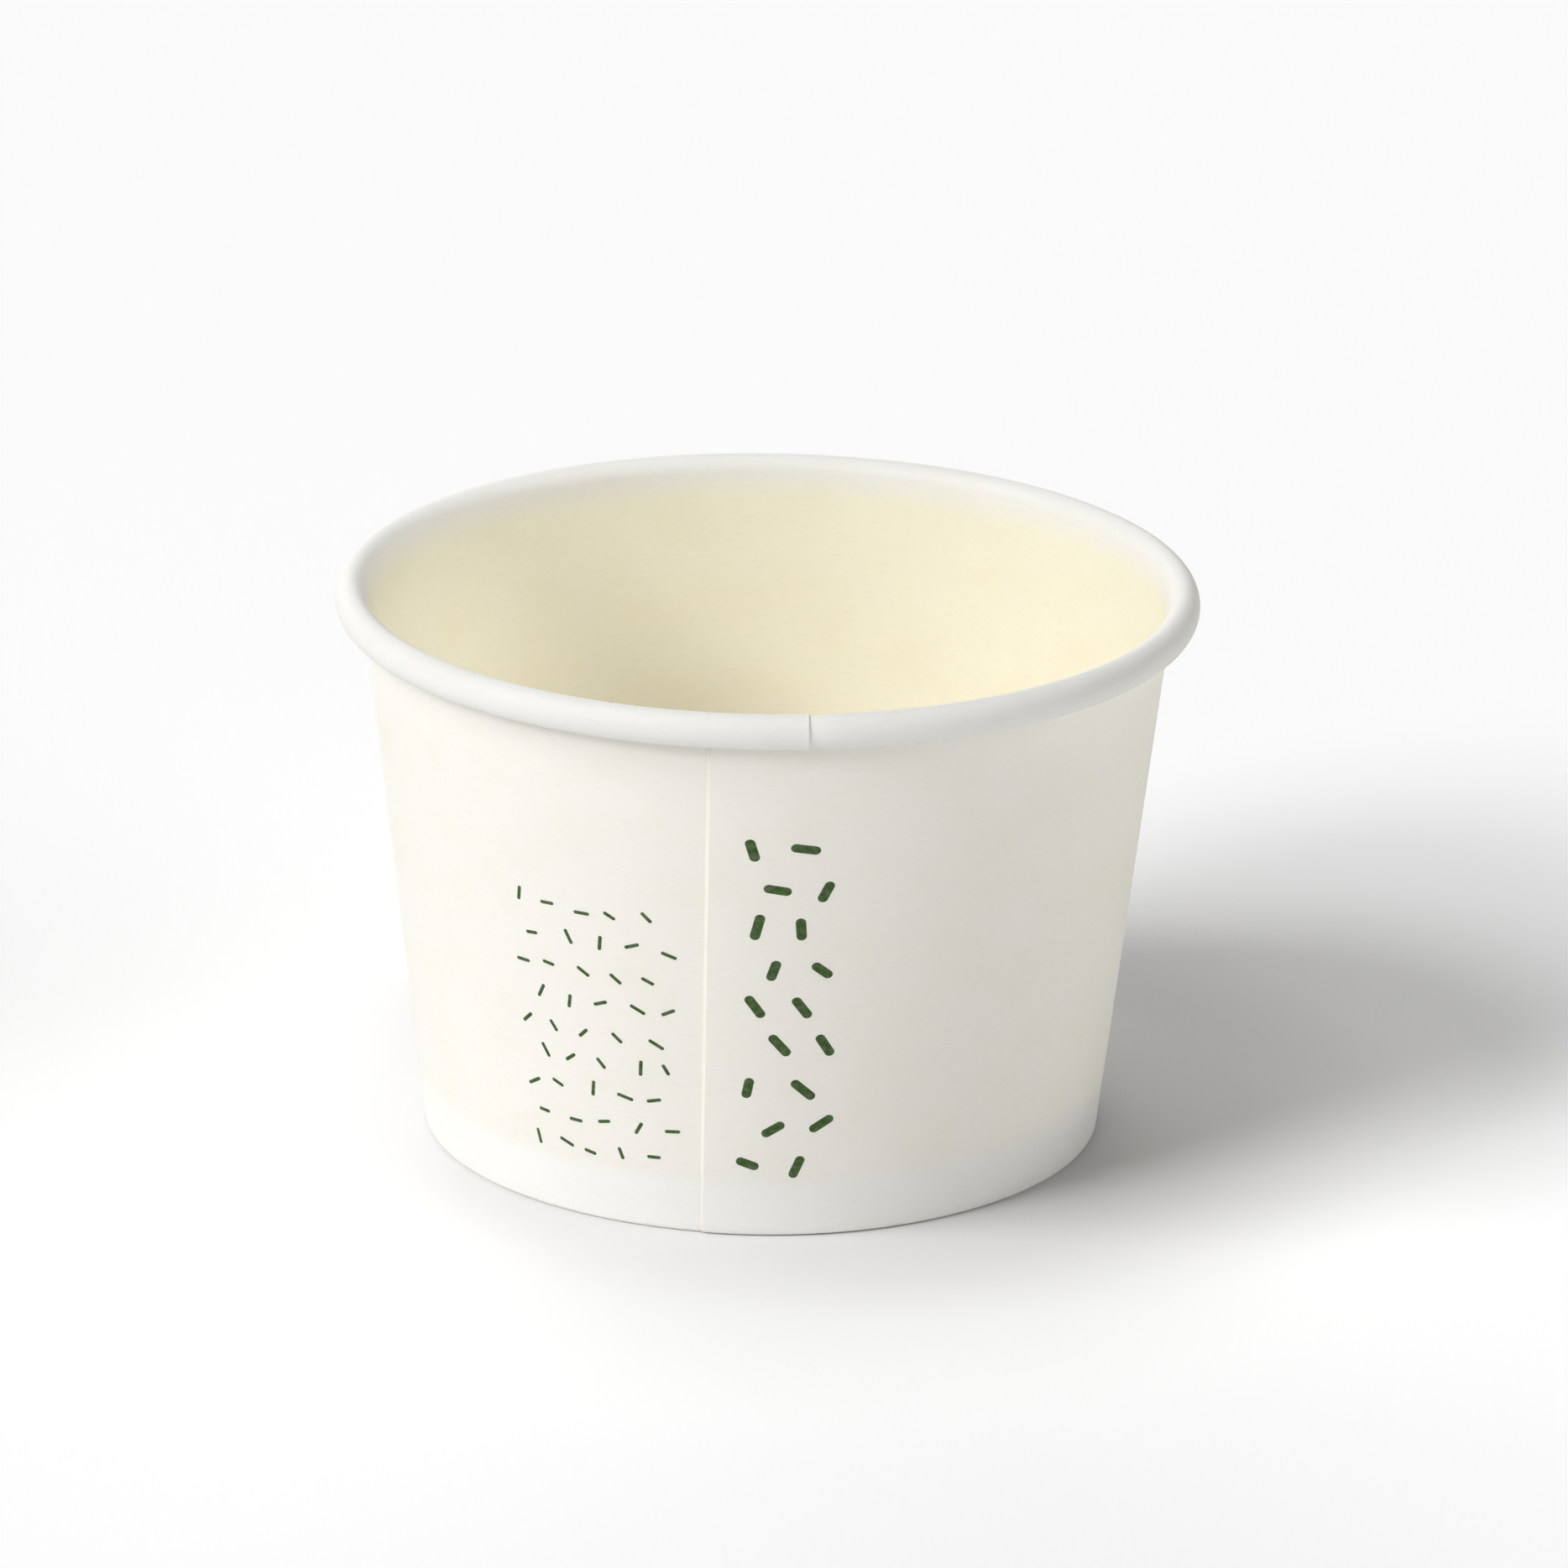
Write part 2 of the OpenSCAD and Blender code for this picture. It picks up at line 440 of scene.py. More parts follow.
def ring(free, share, cover=0.0, outer_cut=0.0, inner_cut=0.0, lift=0.0):
    """One ring round the cup: in the free stretch or the overlap, and how far along it.

    cover is how much of a second ply lies on it, outer_cut and inner_cut mark the blank's two
    cut edges, and lift is the share of the slit's lip.
    """
    return {"free": free, "share": share, "cover": cover, "outer_cut": outer_cut,
            "inner_cut": inner_cut, "lift": lift}


# Distance from the slit in millimetres and share of the lip's height
LIP_RISE = ((0.4, 0.06), (0.28, 0.25), (0.18, 0.55), (0.09, 0.85))

# Distance from the outer cut edge, as a share of its pressed width, and share of a ply's height
CUT_RISE = ((1, 0), (0.72, 0.06), (0.45, 0.34), (0.2, 0.7))

# Distance past the slit in millimetres up to which the rings keep a step, and that step
SLIT_STEPS = ((0.8, 0.06), (3, 0.2), (math.inf, 0.44))


def wall_rings(sizes):
    """Rings of the wall: close together at the two cut edges and past the slit."""
    form = Form(sizes)
    middle = sizes.cup_height / 2
    free_run = TURN * form.outer_r(middle) - (sizes.lap_at_rim + sizes.lap_at_foot) / 2
    lap_steps, cuts_left_free = 18, 2.5
    rings = [ring(0, i / lap_steps, 1) for i in range(lap_steps)]
    rings += [ring(0, 1 - gap * MM / sizes.lap_at_rim, 1, lift=lift) for gap, lift in LIP_RISE]
    rings.append(ring(0, 1, 1, inner_cut=1, lift=1))
    places = [SLIT_STEPS[0][1] * MM]
    while places[-1] < free_run - cuts_left_free * sizes.cut_width:
        step = next(step for end, step in SLIT_STEPS if places[-1] / MM < end)
        places.append(places[-1] + step * MM)
    rings.append(ring(1, places[0] / free_run, inner_cut=1))
    rings += [ring(1, place / free_run) for place in places[1:]]
    for share, cover in CUT_RISE:
        rings.append(ring(1, 1 - share * sizes.cut_width / free_run, cover, outer_cut=1))
    rings.append(ring(0, 0, 1, outer_cut=1))
    return rings


def bottom_rings(steps=180):
    """Even rings of the bottom, which has no overlap.

    They run the other way, so that the faces of a section that starts at the middle point
    outwards too.
    """
    return [ring(1, 1 - i / steps) for i in range(steps + 1)]


def point_object(name, rows):
    """Rows of values as the points of a mesh that a Geometry Nodes tree can read."""
    mesh = bpy.data.meshes.new(name)
    mesh.vertices.add(len(rows))
    for key in rows[0]:
        values = mesh.attributes.new(key, "FLOAT", "POINT")
        values.data.foreach_set("value", [row[key] for row in rows])
    made = bpy.data.objects.new(name, mesh)
    bpy.context.scene.collection.objects.link(made)
    return made


BOARD_INPUTS = (
    ("Stations", "NodeSocketGeometry"),
    ("Rings", "NodeSocketObject"),
    ("Board thickness", "NodeSocketFloat"),
    ("Closed section", "NodeSocketInt"),
    ("Flat blank", "NodeSocketBool"),
    ("Slit azimuth", "NodeSocketFloat"),
    ("Overlap at the rim", "NodeSocketFloat"),
    ("Overlap at the foot", "NodeSocketFloat"),
    ("Cup height", "NodeSocketFloat"),
    ("Foot radius", "NodeSocketFloat"),
    ("Slope", "NodeSocketFloat"),
    ("Rib count", "NodeSocketInt"),
    ("Rib depth", "NodeSocketFloat"),
    ("Outside", "NodeSocketMaterial"),
    ("Lining", "NodeSocketMaterial"),
    ("Cut edge", "NodeSocketMaterial"),
)


def mark_surfaces(nodes, mesh, stations):
    """Stores on each face whether it is outside (0), lined (1) or a cut edge (2 and more)."""
    row = nodes.attribute("row")
    lined = row < stations - 1
    start_cut = row > 2 * stations - 1
    end_cut = (row - stations + 0.5).math("ABSOLUTE") < 0.25
    inner_cut = lined * (nodes.attribute("inner_cut") > 0.9)
    outer_cut = (1 - lined) * (nodes.attribute("outer_cut") > 0.9)
    cuts = start_cut + end_cut + inner_cut + outer_cut
    return nodes.store(mesh, "finish", lined + 2 * (cuts > 0.5), "FACE")


def set_surfaces(nodes, mesh, given):
    """Gives each face the material of its surface."""
    finish = nodes.attribute("finish")
    chosen = (("Outside", True), ("Lining", finish > 0.5), ("Cut edge", finish > 1.5))
    for name, selection in chosen:
        values = {"Geometry": mesh, "Selection": selection, "Material": given[name]}
        mesh = nodes.add("GeometryNodeSetMaterial", {}, values)
    return mesh


def formed_board_tree():
    """The tree that sweeps a section round the cup and laps its two ends."""
    tree = bpy.data.node_groups.new("Formed board", "GeometryNodeTree")
    for name, kind in BOARD_INPUTS:
        tree.interface.new_socket(name=name, in_out="INPUT", socket_type=kind)
    tree.interface.new_socket(name="Board", in_out="OUTPUT", socket_type="NodeSocketGeometry")
    nodes = BoardNodes(tree)
    group_input = tree.nodes.new("NodeGroupInput")
    given = {name: Wire(nodes, group_input.outputs[name]) for name, kind in BOARD_INPUTS}
    rings = nodes.add("GeometryNodeObjectInfo", {}, {"Object": given["Rings"]}, "Geometry")
    stations = nodes.points(given["Stations"])
    rows = 2 * stations + given["Closed section"]
    values = {"Vertices X": nodes.points(rings), "Vertices Y": rows}
    grid = nodes.add("GeometryNodeMeshGrid", {}, values, "Mesh")
    index = nodes.add("GeometryNodeInputIndex")
    turn = ((index + 0.5) / rows).math("FLOOR")
    row = index - turn * rows
    outer = (row > stations - 0.5) * (row < 2 * stations - 0.5)
    place = row.math("MINIMUM", 2 * stations - 1 - row).math("MAXIMUM", 0)

    def of_station(name):
        return nodes.sampled(given["Stations"], name, place)

    def of_ring(name):
        return nodes.sampled(rings, name, turn)

    r, z = of_station("r"), of_station("z")
    free, share = of_ring("free"), of_ring("share")
    wall_r = given["Foot radius"] + z * given["Slope"]
    more_at_rim = given["Overlap at the rim"] - given["Overlap at the foot"]
    lap = (given["Overlap at the foot"] + more_at_rim * z / given["Cup height"]) / wall_r
    span = TURN - lap
    slit = given["Slit azimuth"] + of_station("skew")
    azimuth = slit + free * share * span - (1 - free) * (1 - share) * lap
    settled = (share * span * wall_r / of_station("ease")).math("MINIMUM", 1)
    stand_out = free * (1 + (settled * math.pi).math("COSINE")) / 2
    plies = outer * of_ring("cover") + stand_out
    ribs = (1 + (azimuth * given["Rib count"]).math("COSINE")) / 2
    pressed = outer * of_station("pressed") * given["Rib depth"] * ribs
    board = given["Board thickness"]
    through = outer * board - pressed - of_ring("lift") * of_station("lip")
    radius = r + through * of_station("depth_r") + board * plies * of_station("ply_r")
    height = z + through * of_station("depth_z") + board * plies * of_station("ply_z")
    position = nodes.vector(radius * azimuth.math("SINE"), -radius * azimuth.math("COSINE"), height)
    mesh = nodes.store(grid, "row", row, "POINT")
    mesh = nodes.store(mesh, "outer_cut", of_ring("outer_cut"), "POINT")
    mesh = nodes.store(mesh, "inner_cut", of_ring("inner_cut"), "POINT")
    mesh = nodes.store(mesh, "round", azimuth * given["Foot radius"], "POINT")
    mesh = nodes.store(mesh, "up", of_station("up"), "POINT")
    mesh = nodes.add("GeometryNodeSetPosition", {}, {"Geometry": mesh, "Position": position})
    mesh = mark_surfaces(nodes, mesh, stations)
    spot = nodes.add("GeometryNodeInputPosition")
    wrapped = nodes.vector(nodes.attribute("round"), nodes.attribute("up"), 0)
    values = {"Switch": given["Flat blank"], "False": wrapped, "True": spot}
    blank = nodes.add("GeometryNodeSwitch", {"input_type": "VECTOR"}, values)
    mesh = nodes.store(mesh, "blank", blank, "CORNER", "FLOAT_VECTOR")
    values = {"Geometry": mesh, "Distance": MERGE_DISTANCE}
    mesh = nodes.add("GeometryNodeMergeByDistance", {}, values)
    mesh = nodes.add("GeometryNodeRealizeInstances", {}, {"Geometry": mesh})
    mesh = set_surfaces(nodes, mesh, given)
    group_output = tree.nodes.new("NodeGroupOutput")
    tree.links.new(mesh.socket, group_output.inputs["Board"])
    return tree


def form_board(name, section, rings, values, materials):
    """Runs the tree on a section and leaves a plain mesh object."""
    stations = point_object(name + "_stations", section)
    ring_points = point_object(name + "_rings", rings)
    modifier = stations.modifiers.new("Formed board", "NODES")
    modifier.node_group = formed_board_tree()
    sockets = {item.name: item.identifier for item in modifier.node_group.interface.items_tree}
    for key, value in {**values, **materials, "Rings": ring_points}.items():
        modifier[sockets[key]] = value
    bpy.context.view_layer.update()
    depsgraph = bpy.context.evaluated_depsgraph_get()
    mesh = bpy.data.meshes.new_from_object(stations.evaluated_get(depsgraph), depsgraph=depsgraph)
    for helper in (stations, ring_points):
        bpy.data.objects.remove(helper)
    for attribute in ("row", "outer_cut", "inner_cut", "round", "up", "finish"):
        mesh.attributes.remove(mesh.attributes[attribute])
    # Evaluation leaves an empty slot that no face uses
    mesh.materials.pop(index=mesh.materials[:].index(None))
    mesh.name = name
    mesh.shade_smooth()
    mesh.set_sharp_from_angle(angle=SHARP_ANGLE)
    piece = bpy.data.objects.new(name, mesh)
    bpy.context.scene.collection.objects.link(piece)
    return piece


# Materials

# Grains of the board's noise in millimetres, along and up the blank, and their detail
CLOUD = ((7, 5), 3)
FIBRE = ((0.9, 0.28), 4)
SPECK = ((0.35, 0.3), 1)
MOTTLE = ((0.5, 0.5), 2)
NOISE_ROUGHNESS = 0.55

# From where to where in its noise a cloud, a fibre, a mottle or a smoother spot comes up
CLOUD_RISE = (0.4, 0.75)
FIBRE_RISE = (0.45, 0.8)
MOTTLE_RISE = (0.3, 0.75)
GLOSS_RISE = (0.3, 1.0)

# What they leave of the clean board's colour and of the ink
WARM_CLOUD = (0.988, 0.979, 0.957)
DULL_FIBRE = (0.955, 0.955, 0.955)
MOTTLED_INK = 0.93

# How much specks add to the fibres, in gloss and in relief, and how far the roughness varies
SPECK_GLOSS = 0.3
SPECK_RELIEF = 0.6
ROUGHER = 0.04
SMOOTHER = 0.05
SPECULAR = 0.35

# Roughness and depth of relief of the board's surfaces
SURFACES = {
    "Outside": (0.72, 0.012 * MM),
    "Lining": (0.55, 0.006 * MM),
    "Cut edge": (0.85, 0.02 * MM),
}


def blank_place(nodes):
    """Place on the blank in millimetres: along the wall's foot, and above the table."""
    place = nodes.add("ShaderNodeAttribute", {"attribute_name": "blank"}, {}, "Vector")
    values = {"Vector": place, "Scale": 1 / MM}
    return nodes.add("ShaderNodeVectorMath", {"operation": "SCALE"}, values)


def noise(nodes, place, grain):
    """Noise of one grain at a place on the blank."""
    (along, up), detail = grain
    scaled = nodes.vector_math("MULTIPLY", place, (1 / along, 1 / up, 1))
    values = {"Vector": scaled, "Scale": 1, "Detail": detail, "Roughness": NOISE_ROUGHNESS}
    return nodes.add("ShaderNodeTexNoise", {"noise_dimensions": "3D"}, values)


# Share of the light that comes through a single board, one that is backed and the hollow roll
LIGHT_THROUGH = 0.28
BACKED_THROUGH = 0.18
ROLL_THROUGH = 0.43

# Over how many millimetres that share changes, and how far below the bottom's top it starts to
BACKED_FADE = 1.6
ROLL_FADE = 2
BACKED_LEAD = 1


def even_share(nodes, place):
    """Light comes through a single board the same all over."""
    return LIGHT_THROUGH


def wall_share(backed, rolled):
    """Less light comes through where the bottom backs the wall, and more in the hollow roll.

    backed and rolled are heights on the blank, in millimetres.
    """

    def share_of(nodes, place):
        up = nodes.add("ShaderNodeSeparateXYZ", {}, {"Vector": place}, "Y")
        plain = nodes.between(up, backed, backed + BACKED_FADE, BACKED_THROUGH, LIGHT_THROUGH)
        more = ROLL_THROUGH - LIGHT_THROUGH
        return plain + nodes.between(up, rolled, rolled + ROLL_FADE, 0, more)

    return share_of


def new_material(name):
    """An empty material and its nodes."""
    material = bpy.data.materials.new(name)
    material.use_nodes = True
    material.node_tree.nodes.clear()
    return material, Nodes(material.node_tree)


def show(nodes, shader, kind="ShaderNodeOutputMaterial"):
    """Links a shader to its tree's output."""
    output = nodes.tree.nodes.new(kind)
    nodes.tree.links.new(shader.socket, output.inputs["Surface"])


def board_material(name, surface, colour_of, share_of=even_share):
    """Paperboard: cloudy formation, short fibres and a fine relief.

    colour_of gets the nodes and the place on the blank, and returns the clean board's colour,
    and share_of the share of the light that comes through.
    """
    material, nodes = new_material(name)
    roughness, relief = SURFACES[surface]
    place = blank_place(nodes)
    cloud, fibre, speck = (noise(nodes, place, grain) for grain in (CLOUD, FIBRE, SPECK))
    clean = colour_of(nodes, place)
    warm = nodes.vector_math("MULTIPLY", clean, WARM_CLOUD)
    dull = nodes.vector_math("MULTIPLY", clean, DULL_FIBRE)
    cloudy = nodes.mix_colour(nodes.between(cloud, *CLOUD_RISE), clean, warm)
    tone = nodes.mix_colour(nodes.between(fibre, *FIBRE_RISE), cloudy, dull)
    gloss = fibre + SPECK_GLOSS * speck
    values = {"Strength": 1.0, "Distance": relief, "Height": fibre + SPECK_RELIEF * speck}
    bump = nodes.add("ShaderNodeBump", {}, values)
    shader = nodes.add("ShaderNodeBsdfPrincipled", {}, {
        "Base Color": tone,
        "Roughness": nodes.between(gloss, *GLOSS_RISE, roughness + ROUGHER, roughness - SMOOTHER),
        "Normal": bump,
        "Specular IOR Level": SPECULAR,
    })
    through = nodes.add("ShaderNodeBsdfTranslucent", {}, {"Color": tone, "Normal": bump})
    share = share_of(nodes, place)
    show(nodes, nodes.add("ShaderNodeMixShader", {}, {0: share, 1: shader, 2: through}))
    return material


class PrintField:
    """A field of scattered dashes, in millimetres on the blank."""

    def __init__(self, left, foot, columns, rows, pitch, dash, width, seed):
        self.left = left
        self.foot = foot
        self.columns = columns
        self.rows = rows
        self.pitch = pitch
        self.dash = dash
        self.width = width
        self.seed = seed


PRINT_FIELDS = (
    PrintField(left=-22, foot=5.2, columns=5, rows=9, pitch=2.9, dash=1.35, width=0.32, seed=3.5),
    PrintField(left=-2.6, foot=5.2, columns=2, rows=9, pitch=3.8, dash=2.3, width=0.8, seed=8.5),
)


# A dash's least length and how much more it may have, in the field's dashes
LEAST_DASH = 0.75
MORE_DASH = 0.4

# Half the width in millimetres over which the ink ends
INK_EDGE = 0.03


def dashes(nodes, place, field, half_round):
    """How much ink a field of dashes lays at a place. half_round is half the foot's girth."""
    along = nodes.add("ShaderNodeSeparateXYZ", {}, {"Vector": place}, "X")
    along = along.math("WRAP", half_round, -half_round) - field.left
    up = nodes.add("ShaderNodeSeparateXYZ", {}, {"Vector": place}, "Y") - field.foot
    row = (up / field.pitch).math("FLOOR")
    stagger = row.math("FLOORED_MODULO", 2) * 0.5
    column = (along / field.pitch - stagger).math("FLOOR")
    cell = nodes.vector(column, row, field.seed)
    settings = {"noise_dimensions": "3D"}
    chance = nodes.add("ShaderNodeTexWhiteNoise", settings, {"Vector": cell}, "Color")
    turned, across, above = (
        nodes.add("ShaderNodeSeparateColor", {}, {"Color": chance}, part)
        for part in ("Red", "Green", "Blue")
    )
    lean = turned * math.pi
    spare = (field.pitch - field.dash) / 2
    x = along - (column + stagger + 0.5) * field.pitch - (across - 0.5) * spare
    y = up - (row + 0.5) * field.pitch - (above - 0.5) * spare
    lengthwise = (x * lean.math("COSINE") + y * lean.math("SINE")).math("ABSOLUTE")
    crosswise = y * lean.math("COSINE") - x * lean.math("SINE")
    half = (field.dash - field.width) / 2 * (LEAST_DASH + MORE_DASH * across)
    beyond = (lengthwise - half).math("MAXIMUM", 0)
    distance = (beyond * beyond + crosswise * crosswise).math("SQRT")
    inside = (column > -0.5) * (column < field.columns - 0.5) * (row > -0.5) * (row < field.rows - 0.5)
    bare, inked = field.width / 2 + INK_EDGE, field.width / 2 - INK_EDGE
    return inside * nodes.between(distance, bare, inked)


def printed_colour(finish, half_round):
    """The outside's board colour with its print."""

    def colour_of(nodes, place):
        ink = sum((dashes(nodes, place, field, half_round) for field in PRINT_FIELDS), start=0)
        mottle = nodes.between(noise(nodes, place, MOTTLE), *MOTTLE_RISE, 1.0, MOTTLED_INK)
        return nodes.mix_colour(ink * mottle, (*finish.outside, 1), (*finish.ink, 1))

    return colour_of


def lined_colour(finish, low, high):
    """The lining's colour, paler where the roll stretches it, between two heights in mm."""

    def colour_of(nodes, place):
        up = nodes.add("ShaderNodeSeparateXYZ", {}, {"Vector": place}, "Y")
        return nodes.mix_colour(nodes.between(up, low, high), (*finish.lining, 1), (*finish.rim, 1))

    return colour_of


def plain_colour(value):
    """One colour of board all over."""

    def colour_of(nodes, place):
        return nodes.mix_colour(0, (*value, 1), (*value, 1))

    return colour_of


# Where the lining starts and ends to pale, in heights of the roll below the rim
PALING = (1.3, 0.1)


def wall_materials(finish, sizes):
    """The three surfaces of the wall's board, named by the tree's inputs."""
    top = sizes.cup_height / MM
    roll = sizes.roll_height / MM
    bottom_top = (sizes.recess + sizes.bottom_board) / MM
    printed = printed_colour(finish, math.pi * sizes.foot_diameter / 2 / MM)
    lined = lined_colour(finish, *(top - rolls * roll for rolls in PALING))
    share = wall_share(bottom_top - BACKED_LEAD, top - roll / 2)
    cut = plain_colour(finish.cut_edge)
    return {
        "Outside": board_material("wall_outside", "Outside", printed, share),
        "Lining": board_material("wall_lining", "Lining", lined, share),
        "Cut edge": board_material("wall_cut_edge", "Cut edge", cut),
    }


def bottom_materials(finish):
    """The three surfaces of the bottom's board, named by the tree's inputs."""
    bare, lined, cut = map(plain_colour, (finish.outside, finish.lining, finish.cut_edge))
    return {
        "Outside": board_material("bottom_outside", "Outside", bare),
        "Lining": board_material("bottom_lining", "Lining", lined),
        "Cut edge": board_material("bottom_cut_edge", "Cut edge", cut),
    }


# Operators

class PAPERCUP_OT_make_wall(bpy.types.Operator):
    """Form the wall's board: cone, overlap, rolled rim and hem"""

    bl_idname = "papercup.make_wall"
    bl_label = "Make the wall"

    def execute(self, context):
        sizes = context.scene.cup_sizes
        form = Form(sizes)
        values = {
            "Board thickness": sizes.wall_board,
            "Closed section": 1,
            "Flat blank": False,
            "Slit azimuth": sizes.slit_azimuth,
            "Overlap at the rim": sizes.lap_at_rim,
            "Overlap at the foot": sizes.lap_at_foot,
            "Cup height": sizes.cup_height,
            "Foot radius": form.outer_r(0),
            "Slope": form.slope,
            "Rib count": sizes.rib_count,
            "Rib depth": sizes.rib_depth,
        }
        materials = wall_materials(context.scene.cup_finish, sizes)
        piece = form_board("cup_wall", wall_section(sizes), wall_rings(sizes), values, materials)
        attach(piece, "root")
        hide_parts("side_wall")
        return {"FINISHED"}


class PAPERCUP_OT_make_bottom(bpy.types.Operator):
    """Form the bottom's board: flat, with its edge turned down"""

    bl_idname = "papercup.make_bottom"
    bl_label = "Make the bottom"

    def execute(self, context):
        sizes = context.scene.cup_sizes
        form = Form(sizes)
        values = {
            "Board thickness": sizes.bottom_board,
            "Closed section": 0,
            "Flat blank": True,
            "Cup height": sizes.cup_height,
            "Foot radius": form.outer_r(0),
            "Slope": form.slope,
        }
        materials = bottom_materials(context.scene.cup_finish)
        piece = form_board("cup_bottom", bottom_section(sizes), bottom_rings(), values, materials)
        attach(piece, "root")
        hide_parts("bottom_disc")
        return {"FINISHED"}


def set_camera(studio):
    """The camera, at the photograph's viewing angle."""
    rise, turn = studio.camera_elevation, studio.camera_roll
    sight = Vector((0, math.cos(rise), -math.sin(rise)))
    level = Vector((1, 0, 0))
    upward = level.cross(sight)
    right = math.cos(turn) * level + math.sin(turn) * upward
    above = math.cos(turn) * upward - math.sin(turn) * level
    aim = Vector((studio.aim_x, 0, studio.aim_z))
    place = aim - sight * studio.camera_distance
    data = bpy.data.cameras.new("camera")
    data.sensor_width = 36
    data.lens = studio.camera_lens
    data.clip_start = 0.05
    data.clip_end = 20
    camera = bpy.data.objects.new("camera", data)
    turned = Matrix((right, above, -sight)).transposed().to_4x4()
    camera.matrix_world = Matrix.Translation(place) @ turned
    bpy.context.scene.collection.objects.link(camera)
    bpy.context.scene.camera = camera


def grey(level):
    """A grey as a socket takes it."""
    return (level, level, level, 1)


def floor_material(studio):
    """A pale floor that the camera sees as white, with a painted shade round the cup's foot."""
    material, nodes = new_material("studio_floor")
    rays = nodes.add("ShaderNodeLightPath", {}, {}, "Is Camera Ray")
    path = rays.socket.node.outputs
    seen = rays.math("MAXIMUM", Wire(nodes, path["Is Glossy Ray"]))
    seen = seen.math("MAXIMUM", Wire(nodes, path["Is Transmission Ray"]))
    # Painted shade: the shown grey goes darker towards the foot by place on the floor, not by any lamp
    place = nodes.add("ShaderNodeTexCoord", {}, {}, "Object")
    values = {0: place, 1: (studio.shade_x, studio.shade_y, 0)}
    away = nodes.add("ShaderNodeVectorMath", {"operation": "DISTANCE"}, values, "Value")
    open_floor = nodes.between(away, studio.shade_core, studio.shade_reach)
    shaded, unshaded = grey(studio.floor_shown * studio.shade), grey(studio.floor_shown)
    colours = nodes.mix_colour(open_floor, shaded, unshaded)
    floor = nodes.add("ShaderNodeBsdfDiffuse", {}, {"Color": grey(studio.floor)})
    shown = nodes.add("ShaderNodeBsdfDiffuse", {}, {"Color": colours})
    show(nodes, nodes.add("ShaderNodeMixShader", {}, {0: seen, 1: floor, 2: shown}))
    return material


def set_floor(studio):
    """The floor, a hair under the foot."""
    half, drop = 1.5, 0.02 * MM
    mesh = bpy.data.meshes.new("floor")
    corners = [(-half, -half, -drop), (half, -half, -drop), (half, half, -drop), (-half, half, -drop)]
    mesh.from_pydata(corners, [], [(0, 1, 2, 3)])
    mesh.materials.append(floor_material(studio))
    floor = bpy.data.objects.new("floor", mesh)
    bpy.context.scene.collection.objects.link(floor)


class SoftLamp:
    """A distant soft lamp: where it stands, how high, how strong and how wide it looks."""

    def __init__(self, name, azimuth, elevation, strength, width):
        self.name = name
        self.azimuth = azimuth
        self.elevation = elevation
        self.strength = strength
        self.width = width


LAMPS = (
    SoftLamp("key_low", azimuth=-52, elevation=31, strength=1.5, width=18),
    SoftLamp("key_high", azimuth=-69, elevation=46, strength=1.34, width=22),
    SoftLamp("top", azimuth=-170, elevation=70, strength=0.62, width=32),
    SoftLamp("right", azimuth=70, elevation=17, strength=1.04, width=50),
    SoftLamp("behind", azimuth=-165, elevation=8, strength=1.4, width=45),
    SoftLamp("front_card", azimuth=-34, elevation=5, strength=0.56, width=60),
)


class InsideFill:
    """A narrow lamp through the cup's mouth: its aim on the lining and how it stands to it."""

    aim = Vector((-23, 16, 32)) * MM
    azimuth = 55
    elevation = 47
    distance = 0.6
    watts = 9.5
    spread = 4.6
    radius = 0.02


def direction(lamp):
    """From the cup towards a lamp."""
    around, above = math.radians(lamp.azimuth), math.radians(lamp.elevation)
    level = math.cos(above)
    return Vector((math.sin(around) * level, -math.cos(around) * level, math.sin(above)))


def hang(data, towards):
    """Puts a lamp in the scene, shining from the direction towards it."""
    made = bpy.data.objects.new(data.name, data)
    made.rotation_euler = towards.to_track_quat("Z", "Y").to_euler()
    bpy.context.scene.collection.objects.link(made)
    return made


def set_soft_lamps():
    """The soft lamps round the cup."""
    for lamp in LAMPS:
        data = bpy.data.lights.new(lamp.name, "SUN")
        data.energy = lamp.strength
        data.angle = math.radians(lamp.width)
        hang(data, direction(lamp))


def set_inside_fill():
    """The narrow lamp, on the far side of the lining. It lights the cup and not the floor."""
    data = bpy.data.lights.new("inside_fill", "SPOT")
    data.energy = InsideFill.watts
    data.spot_size = math.radians(InsideFill.spread)
    data.spot_blend = 1
    data.shadow_soft_size = InsideFill.radius
    towards = direction(InsideFill)
    made = hang(data, towards)
    made.location = InsideFill.aim + towards * InsideFill.distance
    lit = bpy.data.collections.new("lit_by_inside_fill")
    for name in ("cup_wall", "cup_bottom"):
        lit.objects.link(bpy.data.objects[name])
    made.light_linking.receiver_collection = lit


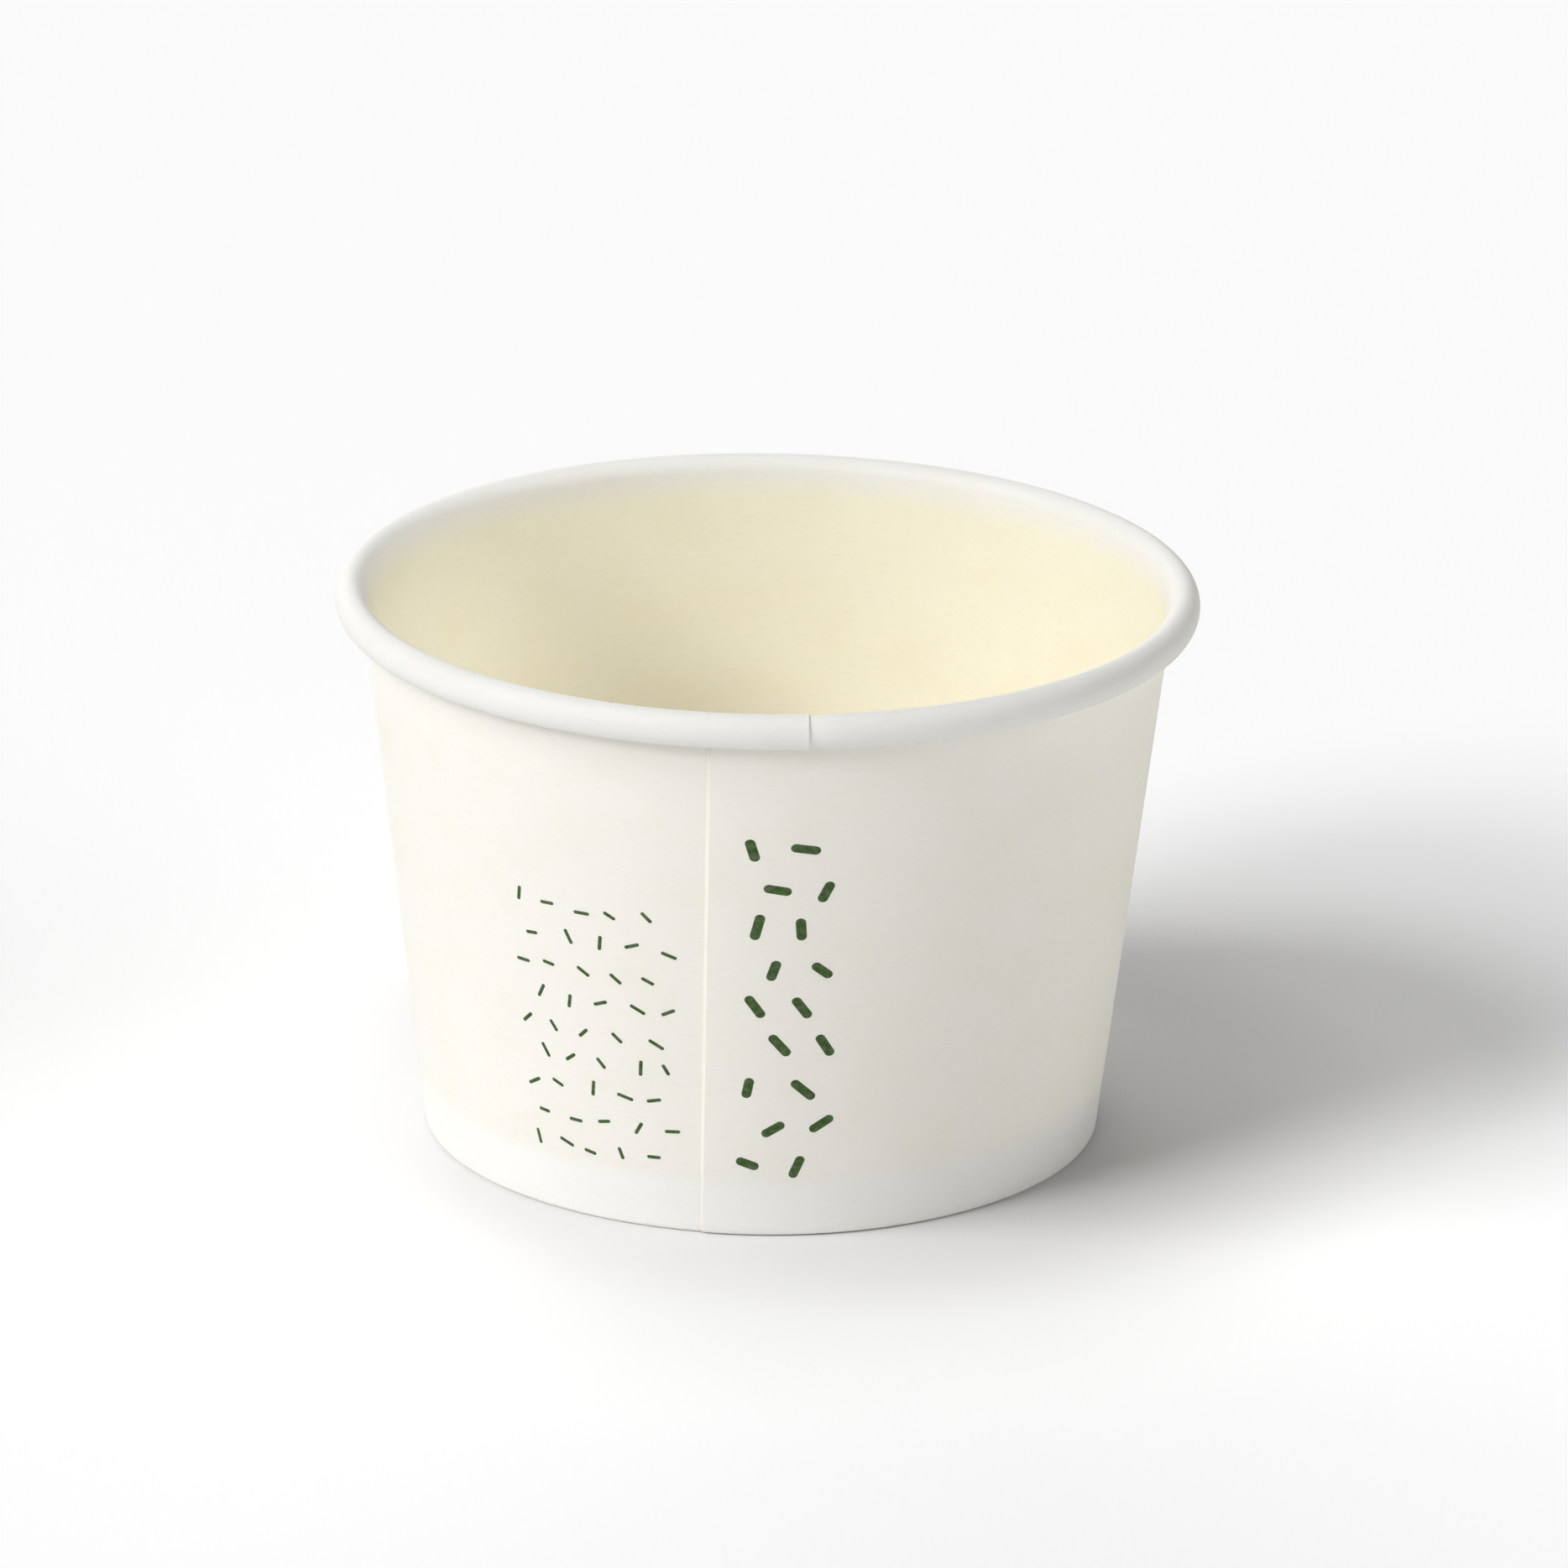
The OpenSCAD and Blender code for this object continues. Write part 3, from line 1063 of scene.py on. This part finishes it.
def set_sky(studio):
    """The even light from all round, and what the camera sees in its place."""
    world = bpy.data.worlds.new("studio")
    bpy.context.scene.world = world
    world.use_nodes = True
    world.node_tree.nodes.clear()
    nodes = Nodes(world.node_tree)
    seen = nodes.add("ShaderNodeLightPath", {}, {}, "Is Camera Ray")
    light, shown = (
        nodes.add("ShaderNodeBackground", {}, {"Color": grey(1), "Strength": strength})
        for strength in (studio.sky, studio.sky_shown)
    )
    mixed = nodes.add("ShaderNodeMixShader", {}, {0: seen, 1: light, 2: shown})
    show(nodes, mixed, "ShaderNodeOutputWorld")


class PAPERCUP_OT_set_studio(bpy.types.Operator):
    """Set the floor, the lamps and the camera"""

    bl_idname = "papercup.set_studio"
    bl_label = "Set the studio"

    def execute(self, context):
        studio = context.scene.cup_studio
        set_camera(studio)
        set_floor(studio)
        set_soft_lamps()
        set_inside_fill()
        set_sky(studio)
        context.scene.view_settings.view_transform = "Standard"
        return {"FINISHED"}


class PAPERCUP_PT_panel(bpy.types.Panel):
    """Lists the cup's pieces, sizes and colours"""

    bl_label = "Paper cup"
    bl_idname = "PAPERCUP_PT_panel"
    bl_space_type = "VIEW_3D"
    bl_region_type = "UI"
    bl_category = "Paper cup"

    def draw(self, context):
        for operator in OPERATORS:
            self.layout.operator(operator.bl_idname)
        for group in PROPERTY_GROUPS:
            box = self.layout.box()
            owner = getattr(context.scene, group)
            for name in type(owner).__annotations__:
                box.prop(owner, name)


OPERATORS = (PAPERCUP_OT_make_wall, PAPERCUP_OT_make_bottom, PAPERCUP_OT_set_studio)
PROPERTY_GROUPS = {"cup_sizes": CupSizes, "cup_finish": CupFinish, "cup_studio": CupStudio}
CLASSES = (*PROPERTY_GROUPS.values(), *OPERATORS, PAPERCUP_PT_panel)


def register():
    """Adds the classes and the scene's properties to Blender."""
    for kind in CLASSES:
        bpy.utils.register_class(kind)
    for name, group in PROPERTY_GROUPS.items():
        setattr(bpy.types.Scene, name, bpy.props.PointerProperty(type=group))


def unregister():
    """Takes them out again."""
    for name in PROPERTY_GROUPS:
        delattr(bpy.types.Scene, name)
    for kind in reversed(CLASSES):
        bpy.utils.unregister_class(kind)


def main():
    """Makes the cup and its studio."""
    register()
    bpy.ops.papercup.make_wall()
    bpy.ops.papercup.make_bottom()
    bpy.ops.papercup.set_studio()


if __name__ == "__main__":
    main()
